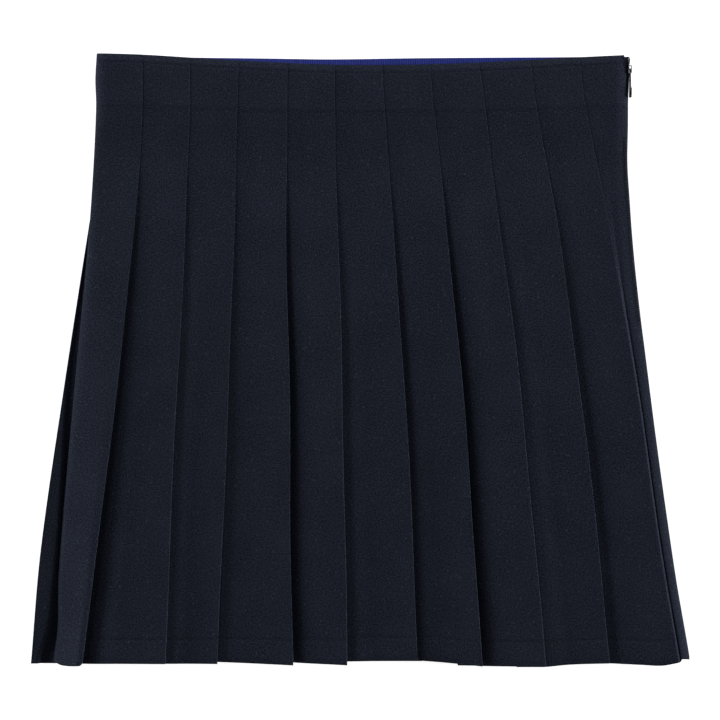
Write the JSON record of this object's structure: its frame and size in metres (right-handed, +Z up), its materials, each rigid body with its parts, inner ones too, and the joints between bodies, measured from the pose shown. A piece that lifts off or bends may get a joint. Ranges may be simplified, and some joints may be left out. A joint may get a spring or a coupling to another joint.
{
  "type": "skirt",
  "caption": "Knife-pleated mini skirt laid flat, front up, with ribbed tape inside the waist and a concealed side zip whose pull turns.",
  "frame": {"origin": "middle of the bounding box's underside: the surface that the skirt lies on, at half its width and half its length", "axes": "+X to the viewer's right across the laid skirt, +Y towards the waist, +Z up from the surface, out of the front"},
  "size_m": [0.4606, 0.4298, 0.0128],
  "materials": {
    "twill": "matt navy twill",
    "ribbed_tape": "royal-blue ribbed tape, slightly glossy",
    "zip_black": "black woven tape and coil",
    "zip_metal": "dark plated metal"
  },
  "bodies": {
    "skirt": {"front_panel": "twill", "back_panel": "twill", "waist_tape": "ribbed_tape", "zip_coil": "zip_black", "zip_tape": "zip_black", "zip_slider": "zip_metal"},
    "pull_tab": {"zip_pull": "zip_metal"}
  },
  "joints": [
    {"name": "pull_hinge", "type": "hinge", "parent": "skirt", "child": "pull_tab", "pos_m": [0.18905, 0.20385, 0.00387], "axis": [0, 0, 1], "range_deg": [0, 175]}
  ]
}
